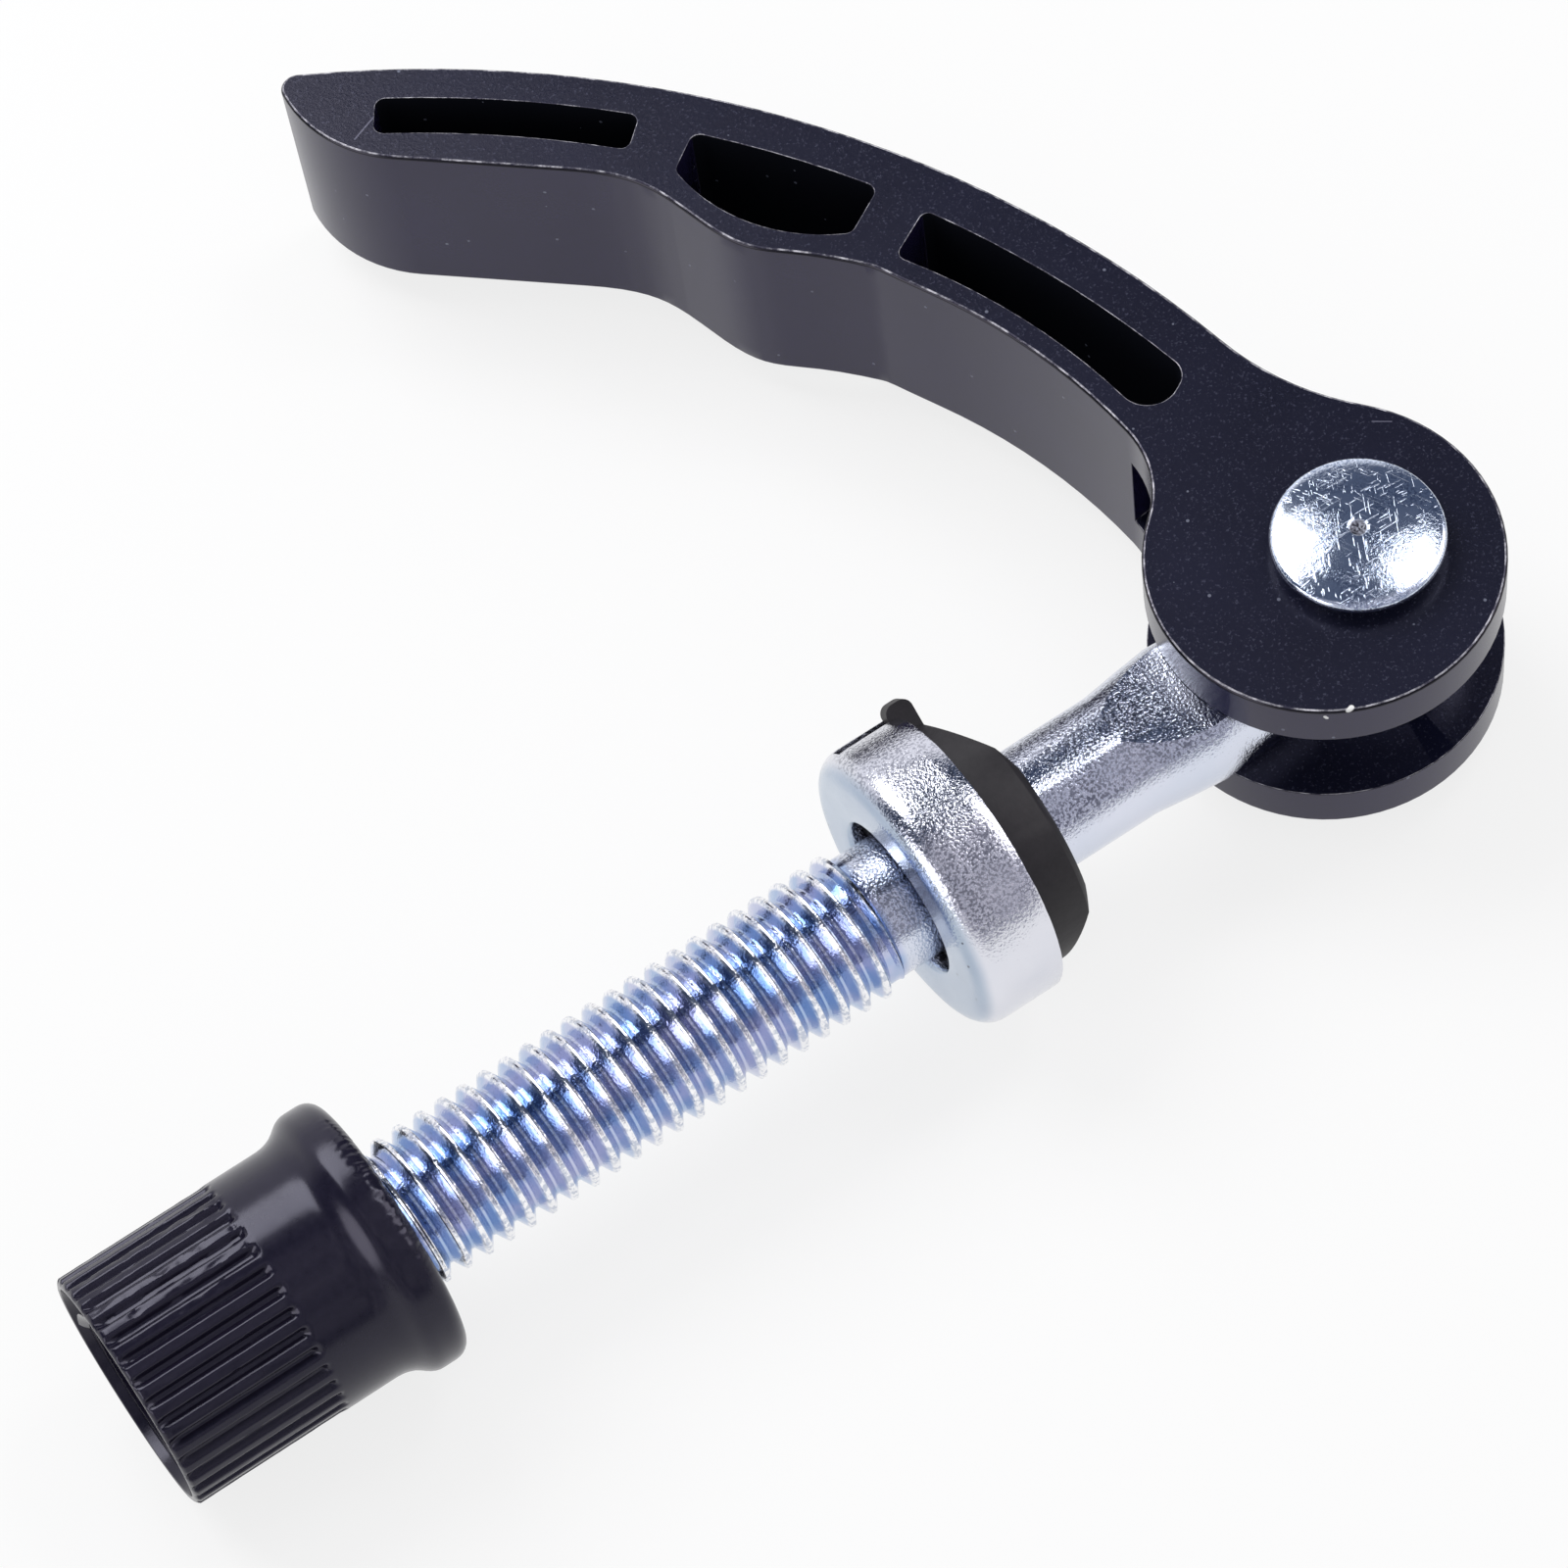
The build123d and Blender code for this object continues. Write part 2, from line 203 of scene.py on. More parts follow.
# ------------------------------------------------------------ finishes
class Nodes:
    """Short ways to add nodes to a tree."""

    def __init__(self, tree):
        self.tree = tree
        self.place = None

    def use_place(self):
        """Patterns lie on the piece's own coordinates."""
        self.place = self.add("ShaderNodeTexCoord").outputs["Object"]

    def add(self, kind, **values):
        node = self.tree.nodes.new(kind)
        for key, value in values.items():
            setattr(node, key, value)
        return node

    def wire(self, value, socket):
        if isinstance(value, bpy.types.NodeSocket):
            self.tree.links.new(value, socket)
        else:
            socket.default_value = value

    def math(self, operation, a, b=0.0, clamp=False):
        node = self.add("ShaderNodeMath", operation=operation, use_clamp=clamp)
        self.wire(a, node.inputs[0])
        self.wire(b, node.inputs[1])
        return node.outputs[0]

    def band(self, value, low, high, to_low=0.0, to_high=1.0):
        node = self.add("ShaderNodeMapRange", interpolation_type="SMOOTHSTEP")
        for key, number in zip(range(1, 5), (low, high, to_low, to_high)):
            node.inputs[key].default_value = number
        self.wire(value, node.inputs[0])
        return node.outputs[0]

    def noise(self, scale, detail=2.0, roughness=0.5, place=None, stretch=None):
        source = place or self.place
        if stretch:
            mapping = self.add("ShaderNodeMapping")
            mapping.inputs["Scale"].default_value = stretch
            self.wire(source, mapping.inputs[0])
            source = mapping.outputs[0]
        node = self.add("ShaderNodeTexNoise")
        self.wire(source, node.inputs["Vector"])
        node.inputs["Scale"].default_value = scale
        node.inputs["Detail"].default_value = detail
        node.inputs["Roughness"].default_value = roughness
        return node.outputs["Fac"]

    def mix(self, factor, a, b):
        node = self.add("ShaderNodeMix", data_type="RGBA")
        self.wire(factor, node.inputs[0])
        self.wire(a if isinstance(a, bpy.types.NodeSocket) else (*a, 1), node.inputs[6])
        self.wire(b if isinstance(b, bpy.types.NodeSocket) else (*b, 1), node.inputs[7])
        return node.outputs[2]

    def place_part(self, index):
        split = self.add("ShaderNodeSeparateXYZ")
        self.wire(self.place, split.inputs[0])
        return split.outputs[index]

    def seen_directly(self):
        """1 for what the camera, a mirror or glass sees, else 0."""
        path = self.add("ShaderNodeLightPath")
        total = path.outputs["Is Camera Ray"]
        for name in ("Is Glossy Ray", "Is Transmission Ray"):
            total = self.math("MAXIMUM", total, path.outputs[name])
        return total


class Finish(Nodes):
    """A node material for one finish of the part."""

    def __init__(self, name, colour, metallic, roughness, level=0.5):
        self.mat = bpy.data.materials.new(name)
        self.mat.use_nodes = True
        super().__init__(self.mat.node_tree)
        self.shader = self.tree.nodes["Principled BSDF"]
        self.shader.inputs["Base Color"].default_value = (*colour, 1)
        self.shader.inputs["Metallic"].default_value = metallic
        self.shader.inputs["Roughness"].default_value = roughness
        self.shader.inputs["Specular IOR Level"].default_value = level
        self.use_place()

    def specks(self, scale, radius, keep):
        """Small round spots: a share of the cells has one."""
        node = self.add("ShaderNodeTexVoronoi")
        self.wire(self.place, node.inputs["Vector"])
        node.inputs["Scale"].default_value = scale
        near = self.math("LESS_THAN", node.outputs["Distance"], radius)
        pick = self.add("ShaderNodeSeparateColor")
        self.wire(node.outputs["Color"], pick.inputs[0])
        chosen = self.math("LESS_THAN", pick.outputs[0], keep)
        return self.math("MULTIPLY", near, chosen)

    def bump(self, height, distance, strength=1.0, under=None):
        node = self.add("ShaderNodeBump")
        node.inputs["Strength"].default_value = strength
        node.inputs["Distance"].default_value = distance * MM
        self.wire(height, node.inputs["Height"])
        if under:
            self.wire(under, node.inputs["Normal"])
        return node.outputs[0]

    def stroke(self, start, end, width):
        """A short line drawn on the surface between two places in millimetres."""
        a = Vector(start) * MM
        along = Vector(end) * MM - a
        from_a = self.add("ShaderNodeVectorMath", operation="SUBTRACT")
        self.wire(self.place, from_a.inputs[0])
        from_a.inputs[1].default_value = a
        part = self.add("ShaderNodeVectorMath", operation="DOT_PRODUCT")
        self.wire(from_a.outputs[0], part.inputs[0])
        part.inputs[1].default_value = along / along.length_squared
        nearest = self.add("ShaderNodeVectorMath", operation="SCALE")
        nearest.inputs[0].default_value = along
        self.wire(self.math("ADD", part.outputs["Value"], 0.0, clamp=True), nearest.inputs["Scale"])
        off = self.add("ShaderNodeVectorMath", operation="DISTANCE")
        self.wire(from_a.outputs[0], off.inputs[0])
        self.wire(nearest.outputs[0], off.inputs[1])
        return self.band(off.outputs["Value"], width * 0.6 * MM, width * 0.35 * MM)

    def normal_part(self, index):
        """Size of one part of the surface's direction."""
        split = self.add("ShaderNodeSeparateXYZ")
        self.wire(self.add("ShaderNodeNewGeometry").outputs["True Normal"], split.inputs[0])
        return self.math("ABSOLUTE", split.outputs[index])

    def length(self, a, b):
        squares = self.math("ADD", self.math("MULTIPLY", a, a), self.math("MULTIPLY", b, b))
        return self.math("SQRT", squares)

    def radius(self):
        """Distance from the bolt's axis."""
        return self.length(self.place_part(1), self.place_part(2))

    def from_pivot(self):
        """Distance from the pivot's axis."""
        x = self.math("SUBTRACT", self.place_part(0), PIVOT_X * MM)
        return self.length(x, self.place_part(1))

    def set(self, **values):
        for key, value in values.items():
            self.wire(value, self.shader.inputs[key.replace("_", " ")])


# knocks and chips on the lever: start, end and width in millimetres
KNOCKS = (
    ((1.32, 52.36, LEVER_TOP), (3.2, 53.08, LEVER_TOP), 0.09),
    ((18.67, 42.18, LEVER_TOP), (19.57, 41.17, LEVER_TOP), 0.12),
    ((33.69, 5.54, LEVER_TOP), (34.48, 4.94, LEVER_TOP), 0.06),
)
CHIPS = (
    ((22.60, -7.36, LEVER_TOP), (22.85, -7.30, LEVER_TOP), 0.28),
    ((21.62, -6.76, 5.18), (21.69, -6.81, 5.04), 0.20),
)


def black_coat(name, wall_low, wall_high, level, wall_gloss):
    """Satin coat: flat faces speckled, walls plain, edges worn pale with a painted highlight, and a painted
    shade as a dark line just below them.
    """
    f = Finish(name, (0.007, 0.008, 0.014), 0.0, 0.3, level)
    f.shader.inputs["Specular Tint"].default_value = (0.84, 0.81, 1.0, 1)
    up = f.normal_part(2)
    flat = f.band(up, 0.9, 0.97)
    # Painted light: the upper faces of each rounded edge get a pale tone that is partly wear and partly a
    # painted highlight.
    edge = f.math("MULTIPLY", f.band(up, 0.74, 0.80), f.band(up, 0.995, 0.98))
    # Painted shade: the steep faces just below each edge are painted nearly black.
    brink_shade = f.math("MULTIPLY", f.band(up, 0.10, 0.20), f.band(up, 0.80, 0.74))
    grain = f.noise(6500, 3, 0.6)
    cloud = f.noise(160, 3, 0.5)
    top_tone = f.mix(cloud, (0.004, 0.0045, 0.012), (0.009, 0.010, 0.026))
    top_tone = f.mix(f.band(grain, 0.56, 0.72), top_tone, (0.040, 0.042, 0.070))
    tone = f.mix(flat, f.mix(cloud, wall_low, wall_high), top_tone)
    rub_and_glint = f.band(f.noise(1300, 4, 0.7), 0.40, 0.70)
    worn_and_highlit = f.mix(rub_and_glint, (0.035, 0.034, 0.055), (0.60, 0.59, 0.65))
    # Edges take the worn tone with its painted highlight; the faces just below them take the painted shade.
    tone = f.mix(brink_shade, f.mix(edge, tone, worn_and_highlit), (0.001, 0.001, 0.002))
    tone = f.mix(f.specks(1100, 0.10, 0.16), tone, (0.13, 0.14, 0.19))
    tone = f.mix(f.specks(420, 0.045, 0.20), tone, (0.45, 0.46, 0.52))
    for start, end, width in KNOCKS:
        tone = f.mix(f.stroke(start, end, width), tone, (0.12, 0.12, 0.17))
    for start, end, width in CHIPS:
        tone = f.mix(f.stroke(start, end, width), tone, (0.85, 0.85, 0.85))
    f.set(Base_Color=tone, Roughness=f.mix(flat, (wall_gloss,) * 3, (0.24,) * 3))
    fine = f.mix(flat, f.mix(grain, (0.4,) * 3, (0.6,) * 3), f.mix(grain, (0,) * 3, (1,) * 3))
    first = f.bump(fine, 0.010, 0.7)
    waves = f.noise(90, 2, 0.5, stretch=(1, 1, 0.15))
    f.set(Normal=f.bump(waves, 0.03, 0.5, first))
    return f.mat


def bright_rivet():
    f = Finish("bright rivet", (0.78, 0.83, 0.92), 1.0, 0.12)
    mottle = f.noise(7000, 3, 0.6)
    patch = f.band(f.noise(700, 2, 0.5), 0.35, 0.60)
    lines = 0.0
    for turn, lane in ((0.5, 9000), (1.6, 8000), (2.7, 10000)):
        turned_place = f.add("ShaderNodeMapping")
        turned_place.inputs["Rotation"].default_value = (0, 0, turn)
        f.wire(f.place, turned_place.inputs[0])
        drawn = f.noise(lane, 1, 0.5, place=turned_place.outputs[0], stretch=(1, 0.035, 1))
        lines = f.math("MAXIMUM", f.band(drawn, 0.64, 0.72), lines)
    pit = f.band(f.from_pivot(), 0.00052, 0.00038)
    spots = f.band(mottle, 0.40, 0.62)
    tone = f.mix(f.math("MULTIPLY", spots, patch), (0.74, 0.81, 0.93), (0.38, 0.45, 0.60))
    tone = f.mix(pit, tone, f.mix(spots, (0.03, 0.03, 0.04), (0.30, 0.31, 0.36)))
    f.set(Base_Color=tone, Roughness=f.mix(pit, f.mix(mottle, (0.05,) * 3, (0.18,) * 3), (0.5,) * 3))
    height = f.math("MULTIPLY", f.math("SUBTRACT", mottle, 0.5), patch)
    first = f.bump(height, 0.018, 0.8)
    f.set(Normal=f.bump(lines, 0.008, 0.8, first))
    return f.mat


def hammered(f, tone, depth, share=1.0):
    """The uneven skin of plated steel: fine dimples, with shade painted into their hollows on faces that
    look up or down.
    """
    mottle = f.noise(6500, 2, 0.55)
    calm = f.band(f.noise(300, 2, 0.5), 0.35, 0.62, 0.55, 1.0)
    amount = f.math("MULTIPLY", calm, share)
    # Painted shade: the hollows of the dimples are darkened, only on faces that look up or down.
    share_on_level_faces = f.math("MULTIPLY", amount, f.band(f.normal_part(2), 0.45, 0.70))
    hollow_shade = f.math("MULTIPLY", f.band(mottle, 0.53, 0.43, 0.0, 0.80), share_on_level_faces)
    height = f.math("MULTIPLY", f.math("SUBTRACT", mottle, 0.5), amount)
    f.set(Base_Color=f.mix(hollow_shade, tone, (0.09, 0.10, 0.15)))
    f.set(Roughness=f.mix(mottle, (0.04,) * 3, (0.12,) * 3))
    f.set(Normal=f.bump(height, depth, 0.9))


def zinc_bolt():
    f = Finish("zinc bolt", (0.6, 0.66, 0.8), 1.0, 0.2)
    cloud = f.noise(230, 3, 0.5)
    shank = f.mix(cloud, (0.60, 0.66, 0.78), (0.76, 0.77, 0.86))
    film = f.noise(420, 2, 0.5)
    flank = f.mix(f.band(film, 0.35, 0.65), (0.36, 0.48, 0.71), (0.53, 0.56, 0.75))
    along = f.place_part(0)
    r = f.radius()
    threaded = f.band(along, RUN_OUT_END * MM, (RUN_OUT_END - 0.5) * MM)
    crest = f.math("MULTIPLY", threaded, f.band(r, (THREAD_R - 0.28) * MM, (THREAD_R - 0.10) * MM))
    tone = f.mix(threaded, shank, flank)
    worn = f.band(f.noise(2600, 3, 0.6), 0.40, 0.56)
    tone = f.mix(crest, tone, f.mix(worn, (0.58, 0.62, 0.72), (0.95, 0.95, 0.97)))
    hammered(f, tone, 0.05, f.band(along, (RUN_OUT_END - 0.5) * MM, RUN_OUT_END * MM, 0.45, 1.0))
    return f.mat


def zinc_washer():
    f = Finish("zinc washer", (0.62, 0.68, 0.76), 1.0, 0.2)
    cloud = f.noise(230, 3, 0.5)
    rim = f.mix(cloud, (0.66, 0.68, 0.76), (0.80, 0.80, 0.85))
    face = f.mix(cloud, (0.34, 0.41, 0.54), (0.52, 0.60, 0.70))
    front = f.band(f.place_part(0), 0.0007, 0.0001)
    pits = f.specks(900, 0.07, 0.10)
    hammered(f, f.mix(pits, f.mix(front, rim, face), (0.08, 0.08, 0.10)), 0.05, 0.85)
    return f.mat


def black_plastic():
    f = Finish("black plastic", (0.020, 0.017, 0.017), 0.0, 0.5, 0.3)
    grain = f.noise(2400, 4, 0.6)
    drag = f.noise(1500, 2, 0.5, stretch=(0.2, 1, 1))
    f.set(Base_Color=f.mix(grain, (0.010, 0.009, 0.011), (0.024, 0.021, 0.025)))
    f.set(Normal=f.bump(drag, 0.012, 0.5, f.bump(grain, 0.02, 0.6)))
    return f.mat


def black_gloss():
    f = Finish("black gloss", (0.006, 0.006, 0.010), 0.0, 0.16, 0.4)
    f.shader.inputs["Specular Tint"].default_value = (0.83, 0.82, 1.0, 1)
    peel = f.noise(420, 3, 0.5)
    grain = f.noise(2500, 3, 0.6)
    chip = f.specks(260, 0.03, 0.12)
    tone = f.mix(grain, (0.006, 0.005, 0.012), (0.012, 0.010, 0.023))
    f.set(Base_Color=f.mix(chip, tone, (0.6, 0.6, 0.6)))
    f.set(Roughness=f.mix(grain, (0.16,) * 3, (0.26,) * 3))
    f.set(Normal=f.bump(peel, 0.02, 0.4, f.bump(grain, 0.005, 0.5)))
    return f.mat


finishes = {
    "lever": black_coat("black coat", (0.010, 0.008, 0.030), (0.015, 0.012, 0.048), 0.36, 0.22),
    "pivot_pin": bright_rivet(),
    "eye_bolt": zinc_bolt(),
    "cam_washer": black_plastic(),
    "steel_washer": zinc_washer(),
    "adjusting_nut": black_gloss(),
}
# A darker, dull copy of the coat, painted on the pocket walls as their shade.
pocket_shade_coat = black_coat("pocket shade coat", (0.007, 0.008, 0.012), (0.009, 0.010, 0.016), 0.0, 0.5)
for node, finish in finishes.items():
    nodes[node].data.materials.clear()
    nodes[node].data.materials.append(finish)


# ------------------------------------------------------------ lever
def round_edges(obj, width, angle, segments=2):
    """Break every edge sharper than the angle with a small rounding."""
    only(obj)
    soften = obj.modifiers.new("edge break", "BEVEL")
    soften.width = width * MM
    soften.segments = segments
    soften.limit_method = "ANGLE"
    soften.angle_limit = math.radians(angle)
    soften.harden_normals = False
    soften.use_clamp_overlap = True
    bpy.ops.object.modifier_apply(modifier="edge break")


def even_shading(obj):
    """Let the large faces lead the shading, so that they look flat."""
    only(obj)
    weigh = obj.modifiers.new("face weight", "WEIGHTED_NORMAL")
    weigh.weight = 100
    weigh.keep_sharp = True
    bpy.ops.object.modifier_apply(modifier="face weight")


def make_lever():
    """The bar keeps the solid's form, with broken edges and a darker, dull coat painted on the pocket walls
    as their shade.
    """
    lever = merged_copy("lever", "lever_arm")
    edit_all(lever)
    bpy.ops.mesh.dissolve_limited(angle_limit=math.radians(0.5))
    object_mode()
    round_edges(lever, 0.05, 28)
    close_up(lever, 50)
    even_shading(lever)
    dress(lever, "lever", "lever_body")
    lever.data.materials.append(pocket_shade_coat)
    # Walls that face another wall of the lever take the darker coat as painted shade.
    for polygon in lever.data.polygons:
        start = polygon.center + polygon.normal * 0.00002
        faces_itself = lever.ray_cast(start, polygon.normal, distance=FACING_GAP * MM)[0]
        polygon.material_index = 1 if faces_itself else 0


# ------------------------------------------------------------ rivet
def make_rivet():
    """One turned profile: far head, shank, flange and dome with its dimple."""
    dome = 0.0235
    head = [(-7.05, 0), (-7.04, 1.2), (-6.98, 2.0), (-6.85, 2.7), (-6.6, 3.2), (-6.25, 3.52), (-5.85, 3.66)]
    head += [(-5.6, 3.66), (-5.6, 2.5), (5.6, 2.5), (5.6, 3.5), (6.0, 3.9), (6.4, 4.36), (6.5, 4.45)]
    head += [(6.62, 4.485)]
    head += [(6.72, 4.48), (6.82, 4.45), (6.9, 4.40), (6.955, 4.33)]
    head += [(7.42 - dome * r * r, r) for r in (4.2, 3.9, 3.5, 3.0, 2.5, 2.0, 1.5, 1.0, 0.7, 0.5)]
    head += [(7.38, 0.42), (7.33, 0.33), (7.29, 0.2), (7.28, 0)]
    rivet = turned("rivet_head", head, 96, "Z")
    for v in rivet.data.vertices:
        reach = math.hypot(v.co.x, v.co.y) / MM
        if v.co.z > 0.0065 and reach < 0.45:
            v.co.z -= 0.00005 * abs(noise.noise(v.co * 4200))
        v.co.x += PIVOT_X * MM
    close_up(rivet, 32)
    dress(rivet, "pivot_pin", "lever_body")


# ------------------------------------------------------------ eye bolt
def make_eye_bolt():
    """The solid's rings are pared to the root and a true thread is wound over them."""
    bolt = merged_copy("eye_bolt", "bolt_with_thread")
    for v in bolt.data.vertices:
        r, angle = polar(v)
        from_pin = v.co.x / MM - PIVOT_X
        if -20.5 < from_pin < -9.5:
            v.co.x += 1.5 * MM * smooth(-20.5, -17.5, from_pin) * smooth(-9.5, -12.0, from_pin)
        if v.co.x < (THREAD_START - 0.1) * MM and r > 3.0:
            set_radius(v, THREAD_ROOT, angle)
    tooth = [
        (-0.61, THREAD_ROOT - 0.14), (-0.56, THREAD_ROOT), (-0.51, THREAD_ROOT + 0.04),
        (-0.14, THREAD_R - 0.03), (-0.09, THREAD_R), (0.0, THREAD_R - 0.025), (0.09, THREAD_R),
        (0.14, THREAD_R - 0.03), (0.51, THREAD_ROOT + 0.04), (0.56, THREAD_ROOT), (0.61, THREAD_ROOT - 0.14),
    ]
    thread = coil("thread", tooth, THREAD_END - 0.4, THREAD_START + 0.9, 60)
    for v in thread.data.vertices:
        r, angle = polar(v)
        x = v.co.x / MM
        fade = 1 - smooth(RUN_OUT_START, RUN_OUT_END, x)
        floor_r = THREAD_ROOT - 0.3
        r = floor_r + (r - floor_r) * fade if r > THREAD_ROOT - 0.1 else min(r, floor_r)
        if r > THREAD_ROOT + 0.4:
            r -= 0.03 * max(0.0, noise.noise(v.co * 1500) + 0.1)
        r = min(r, max(THREAD_ROOT - 0.2, THREAD_R - 0.9 + (x - THREAD_END)))
        v.co.x = max(v.co.x, (THREAD_END + 0.02) * MM)
        set_radius(v, r, angle)
    bolt = join([bolt, thread], "bolt_with_thread")
    close_up(bolt, 18)
    dress(bolt, "eye_bolt", "bolt_body")


# ------------------------------------------------------------ washers
CUP_R = 7.95
CUP_H = 4.6
CUP_WALL = 1.15
CUP_HOLE_R = 4.35
ROUND = 1.35
KEY_ANGLE = math.radians(37)


def make_cup():
    """A turned cup with a key slot sawn through its rim."""
    cup_profile = [(CUP_WALL, CUP_HOLE_R), (0.3, CUP_HOLE_R), (0.12, CUP_HOLE_R + 0.05)]
    cup_profile += [(0.03, CUP_HOLE_R + 0.14), (0, CUP_HOLE_R + 0.28), (0, 5.3), (0, 6.0)]
    for k in range(9):
        turn = math.radians(11.25 * k)
        cup_profile.append((ROUND * (1 - math.cos(turn)), CUP_R - ROUND * (1 - math.sin(turn))))
    cup_profile += [(2.1, CUP_R), (2.9, CUP_R), (3.7, CUP_R), (CUP_H - 0.14, CUP_R)]
    cup_profile += [(CUP_H - 0.03, CUP_R - 0.05)]
    cup_profile += [(CUP_H, CUP_R - 0.15), (CUP_H, CUP_R - CUP_WALL)]
    cup_profile += [(CUP_WALL, CUP_R - CUP_WALL), (CUP_WALL, CUP_HOLE_R)]
    cup = turned("washer_cup", cup_profile, 120, "X")
    bpy.ops.object.select_all(action="DESELECT")
    bpy.ops.mesh.primitive_cube_add(size=1.0, location=(0.0038, CUP_R * MM, 0))
    cutter = bpy.context.object
    cutter.scale = (0.0056, 0.0029, 0.00115)
    bpy.ops.object.transform_apply(location=True, rotation=False, scale=True)
    cutter.rotation_euler = (KEY_ANGLE, 0, 0)
    bpy.ops.object.transform_apply(location=False, rotation=True, scale=False)
    only(cup)
    slot_cut = cup.modifiers.new("key slot", "BOOLEAN")
    slot_cut.operation = "DIFFERENCE"
    slot_cut.solver = "EXACT"
    slot_cut.object = cutter
    bpy.ops.object.modifier_apply(modifier="key slot")
    bpy.data.objects.remove(cutter)
    for v in cup.data.vertices:
        r, angle = polar(v)
        if v.co.x > (CUP_H - 0.2) * MM and r > CUP_R - 0.2:
            v.co.x += 0.00007 * min(0.0, noise.noise(Vector((angle * 22, 5.0, 0))))
    close_up(cup, 32)
    dress(cup, "steel_washer", "washer_pair")


def make_saddle():
    """The plastic saddle keeps the solid's form, with its moulded edges rounded."""
    saddle = merged_copy("cam_washer", "washer_saddle")
    edit_all(saddle)
    bpy.ops.mesh.dissolve_limited(angle_limit=math.radians(0.5))
    object_mode()
    round_edges(saddle, 0.12, 40)
    close_up(saddle, 32)
    dress(saddle, "cam_washer", "washer_pair")


# ------------------------------------------------------------ adjusting nut
def make_nut():
    """A turned shell, its knurl pressed in and worn on top, with a thread wound into the bore."""
    knurl_rows = [mix(NUT_END + 0.22, KNURL_END - 0.55, i / 26) for i in range(27)]
    foot_rows = [KNURL_END - 0.55 + 0.09 * i for i in range(1, 9)]
    nut_profile = [(NUT_END + 2.2, NUT_BORE_R), (NUT_END + 0.5, NUT_BORE_R), (NUT_END + 0.5, 5.85)]
    nut_profile += [(NUT_END + 0.04, 5.95), (NUT_END, 6.02), (NUT_END, 6.14)]
    nut_profile += [(NUT_END + 0.06, 6.28), (NUT_END + 0.13, 6.38)]
    nut_profile += [(x, KNURL_R) for x in knurl_rows]
    nut_profile += [(x, mix(KNURL_R, BELL_R, smooth(-0.55, 0.1, x - KNURL_END))) for x in foot_rows]
    for back, r in (
        (6.0, BELL_R), (5.2, BELL_R), (4.4, BELL_R), (3.8, BELL_R), (3.45, 6.53), (3.15, 6.6),
        (2.85, 6.72), (2.6, 6.88), (2.4, 7.04), (2.2, 7.18), (2.0, 7.28), (1.8, 7.335),
        (1.55, FLARE_R), (1.2, FLARE_R), (0.9, FLARE_R),
        (0.7, 7.33), (0.5, 7.27), (0.33, 7.17), (0.18, 7.03), (0.07, 6.85), (0.0, 6.6),
        (0.0, 5.6), (0.0, 4.6), (0.45, NUT_BORE_R), (2.0, NUT_BORE_R),
    ):
        nut_profile.append((NUT_FACE - back, r))
    nut_profile.append(nut_profile[0])
    nut = turned("nut_shell", nut_profile, KNURL_N * 14, "X")
    for v in nut.data.vertices:
        r, angle = polar(v)
        x = v.co.x / MM
        if r < 6.2:
            continue
        if x < KNURL_END + 0.05:
            part = ((angle - KNURL_PHASE) / GROOVE_STEP + 0.5) % 1.0 - 0.5
            across = abs(part) * GROOVE_STEP * KNURL_R
            cut = 1 - smooth(0.09, 0.38, across)
            run = smooth(KNURL_END + 0.02, KNURL_END - 0.5, x)
            run *= smooth(NUT_END + 0.02, NUT_END + 0.35, x)
            r -= GROOVE_DEPTH * cut * run
            worn = on_side(angle, 40, 62, 88, 112)
            knock = noise.noise(Vector((x * 3.2, angle * 14, 3.0)))
            r -= 0.13 * worn * max(0.0, knock - 0.08) * (1 - cut)
            r += 0.015 * noise.noise(Vector((x * 1.5, angle * 20, 7.0)))
        elif x > NUT_FACE - 0.9:
            burr = on_side(angle, 55, 80, 120, 150)
            r += 0.10 * burr * noise.noise(Vector((x * 4, angle * 26, 1.0)))
            v.co.x += 0.00010 * burr * min(0.0, noise.noise(Vector((angle * 30, 2.0, r))))
        set_radius(v, r, angle)
    inner_tooth = [(-0.5, 4.5), (-0.38, 4.27), (-0.16, 4.0), (0.16, 4.0), (0.38, 4.27), (0.5, 4.5)]
    inner = coil("nut_thread", inner_tooth, NUT_END + 1.3, NUT_FACE - 2.0, 40)
    nut = join([nut, inner], "knurled_nut")
    close_up(nut, 40)
    dress(nut, "adjusting_nut", "nut_body")


make_lever()
make_rivet()
make_eye_bolt()
make_cup()
make_saddle()
make_nut()

# ------------------------------------------------------------ camera
right = Vector((0.826, -0.5571, -0.0855))
forward = Vector((0.2102, 0.4453, -0.8704)).normalized()
right = (right - forward * right.dot(forward)).normalized()
up = right.cross(forward).normalized()
cam_data = bpy.data.cameras.new("camera")
cam = bpy.data.objects.new("camera", cam_data)
bpy.context.scene.collection.objects.link(cam)
cam_data.sensor_width = 36.0
cam_data.lens = 137.64
cam.matrix_world = Matrix((
    (right.x, up.x, -forward.x, PIVOT_X * MM - 0.0936),
    (right.y, up.y, -forward.y, -0.1267),
    (right.z, up.z, -forward.z, 0.2650),
    (0, 0, 0, 1),
))
bpy.context.scene.camera = cam


# ------------------------------------------------------------ studio
WINDOWS = ((0.74, -0.24, 0.63), (-0.95, -0.10, 0.30))      # directions past both ends of the bolt


def surface(nodes, shader):
    nodes.wire(shader.outputs[0], nodes.tree.nodes["Material Output"].inputs["Surface"])


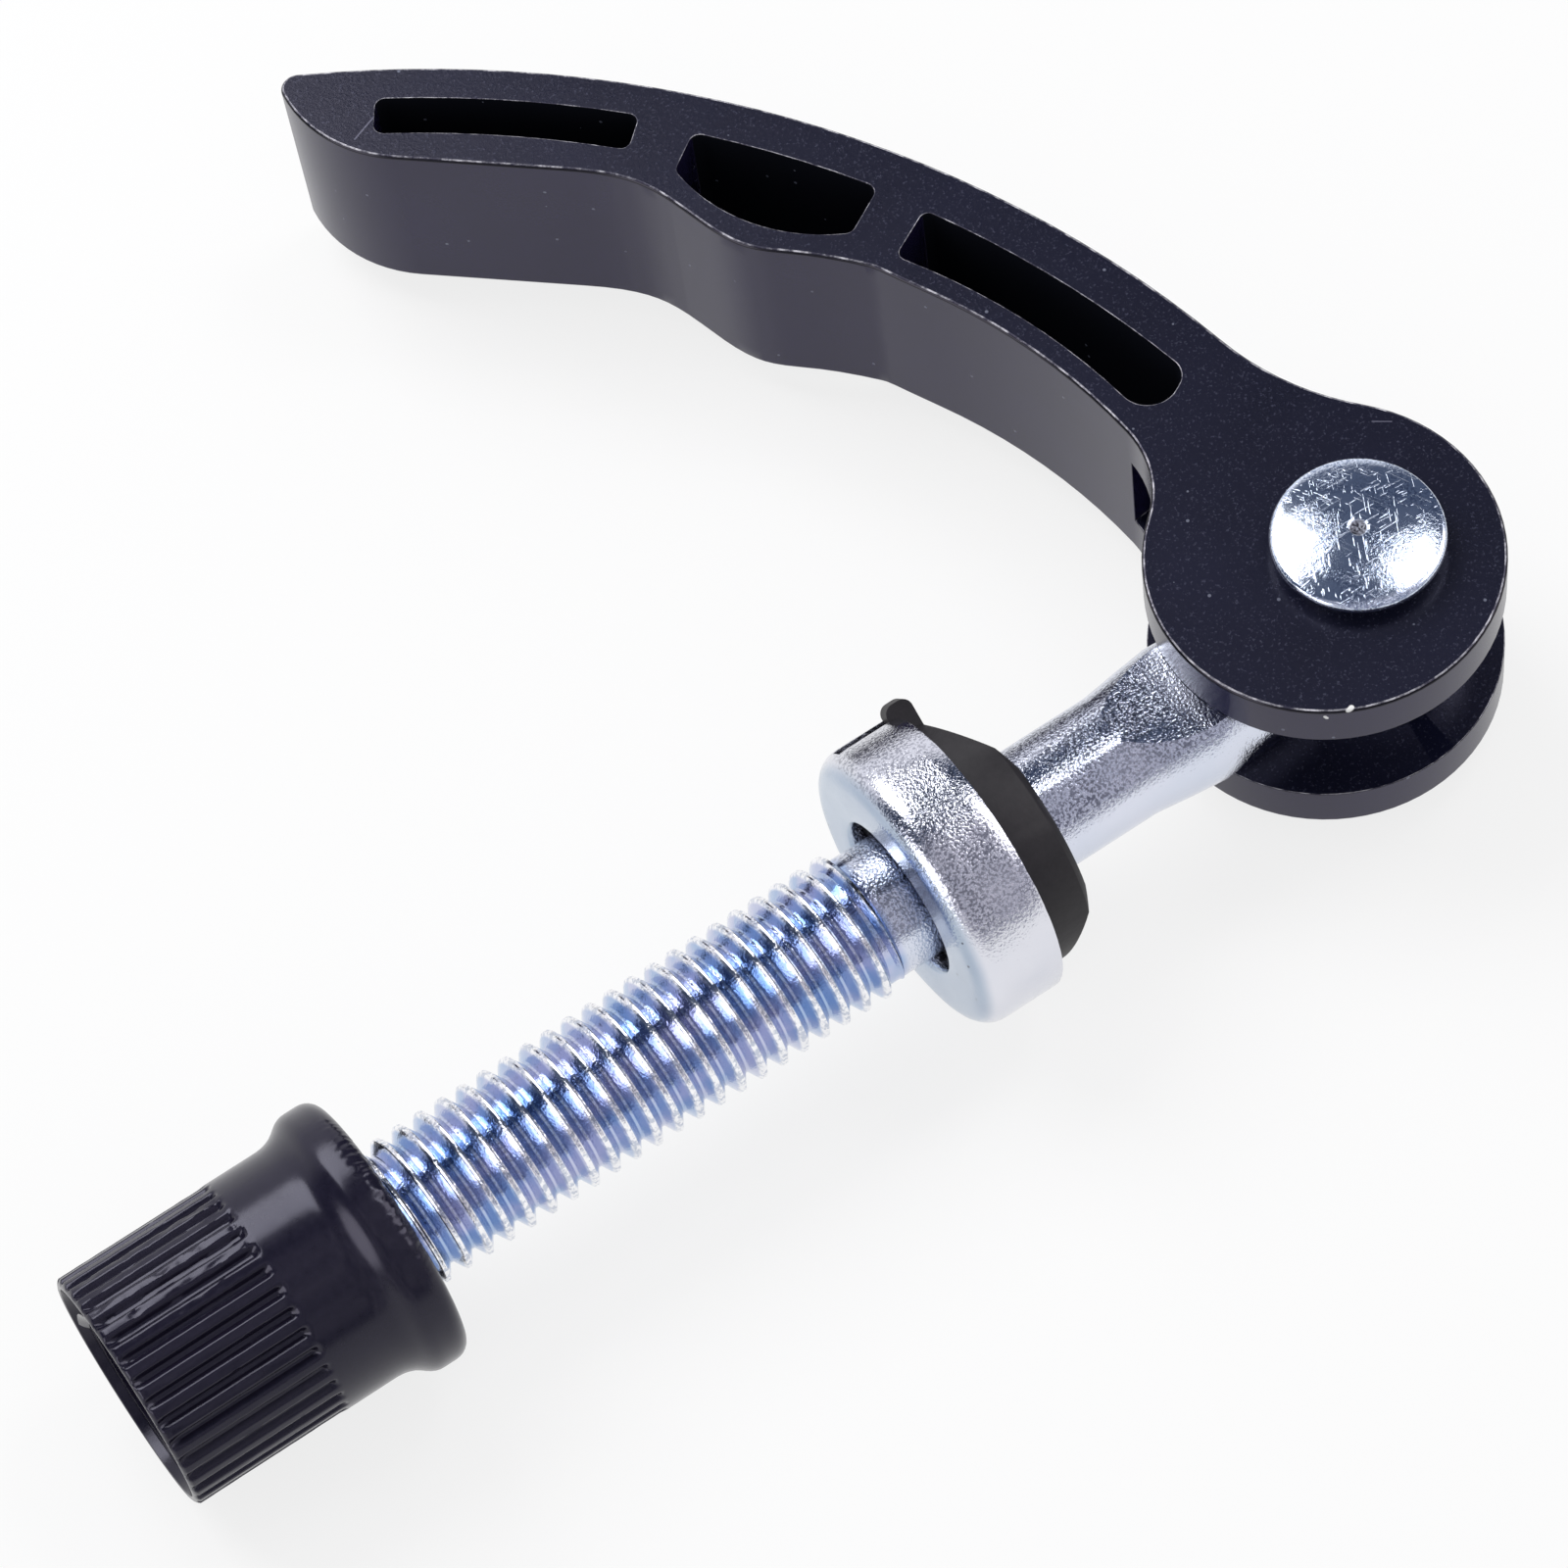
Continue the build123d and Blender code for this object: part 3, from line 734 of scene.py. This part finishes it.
def pale_floor():
    """Paint that keeps the part's shadow under a glow that only direct looks see."""
    mat = bpy.data.materials.new("pale floor")
    mat.use_nodes = True
    f = Nodes(mat.node_tree)
    paint = f.tree.nodes["Principled BSDF"]
    paint.inputs["Base Color"].default_value = (0.82, 0.82, 0.83, 1)
    paint.inputs["Roughness"].default_value = 0.9
    paint.inputs["Specular IOR Level"].default_value = 0.0
    glow = f.add("ShaderNodeEmission")
    glow.inputs["Strength"].default_value = 1.0
    blend = f.add("ShaderNodeMixShader")
    f.wire(f.math("MULTIPLY", f.seen_directly(), 0.80), blend.inputs[0])
    f.wire(paint.outputs[0], blend.inputs[1])
    f.wire(glow.outputs[0], blend.inputs[2])
    surface(f, blend)
    return mat


def tent_cloth():
    """Dark cloth, lit low on the arm's side, with clutter opposite and two soft windows."""
    mat = bpy.data.materials.new("tent cloth")
    mat.use_nodes = True
    f = Nodes(mat.node_tree)
    f.tree.nodes.remove(f.tree.nodes["Principled BSDF"])
    f.use_place()
    y = f.place_part(1)
    lit = f.math("MULTIPLY", f.band(y, 0.85, 1.15), f.band(f.place_part(2), 0.98, 0.80))
    tone = f.mix(lit, (0.075, 0.095, 0.15), (0.95, 0.95, 1.0))
    clutter = f.math("MULTIPLY", f.band(f.noise(8.0), 0.47, 0.54), f.band(y, 0.15, -0.15))
    tone = f.mix(clutter, tone, (0.90, 0.87, 0.95))
    direction = f.add("ShaderNodeVectorMath", operation="NORMALIZE")
    f.wire(f.place, direction.inputs[0])
    for way in WINDOWS:
        toward = f.add("ShaderNodeVectorMath", operation="DOT_PRODUCT")
        toward.inputs[1].default_value = way
        f.wire(direction.outputs[0], toward.inputs[0])
        tone = f.mix(f.band(toward.outputs["Value"], 0.93, 0.965), tone, (3.4, 3.3, 3.4))
    glow = f.add("ShaderNodeEmission")
    f.wire(tone, glow.inputs[0])
    surface(f, glow)
    return mat


def make_floor():
    bpy.ops.object.select_all(action="DESELECT")
    bpy.ops.mesh.primitive_plane_add(size=4.0, location=(0, 0, FLOOR_Z * MM))
    obj = bpy.context.object
    obj.name = "floor"
    obj.data.materials.append(pale_floor())
    return obj


def make_tent():
    """A tent over the table, which only polished surfaces see."""
    bpy.ops.object.select_all(action="DESELECT")
    bpy.ops.mesh.primitive_uv_sphere_add(segments=48, ring_count=24, radius=1.6, location=(0, 0, 0))
    obj = bpy.context.object
    obj.name = "tent"
    edit_all(obj)
    bpy.ops.mesh.bisect(plane_co=(0, 0, 0.03), plane_no=(0, 0, 1), clear_inner=True)
    object_mode()
    obj.data.materials.append(tent_cloth())
    obj.visible_camera = False
    obj.visible_diffuse = False
    obj.visible_transmission = False
    obj.visible_shadow = False
    return obj


def light_world():
    """White where it is seen directly and dimmer as a lamp."""
    world = bpy.data.worlds.new("studio")
    bpy.context.scene.world = world
    world.use_nodes = True
    f = Nodes(world.node_tree)
    sky = f.tree.nodes["Background"]
    sky.inputs["Color"].default_value = (1, 1, 1, 1)
    f.wire(f.band(f.seen_directly(), 0.0, 1.0, 0.55, 1.0), sky.inputs["Strength"])


def softbox(name, azimuth, elevation, distance, width, height, watts):
    """A square lamp that faces the part."""
    a, e = math.radians(azimuth), math.radians(elevation)
    way = Vector((math.cos(e) * math.cos(a), math.cos(e) * math.sin(a), math.sin(e)))
    data = bpy.data.lights.new(name, "AREA")
    data.shape = "RECTANGLE"
    data.size = width
    data.size_y = height
    data.energy = watts
    lamp = bpy.data.objects.new(name, data)
    bpy.context.scene.collection.objects.link(lamp)
    lamp.location = way * distance
    lamp.rotation_euler = (-way).to_track_quat("-Z", "Y").to_euler()


light_world()
make_floor()
make_tent()
softbox("softbox_left", 104, 50, 0.6, 0.38, 0.36, 2.4)
softbox("softbox_right", 10, 62, 0.6, 0.16, 0.15, 0.4)

bpy.context.scene.view_settings.view_transform = "Standard"
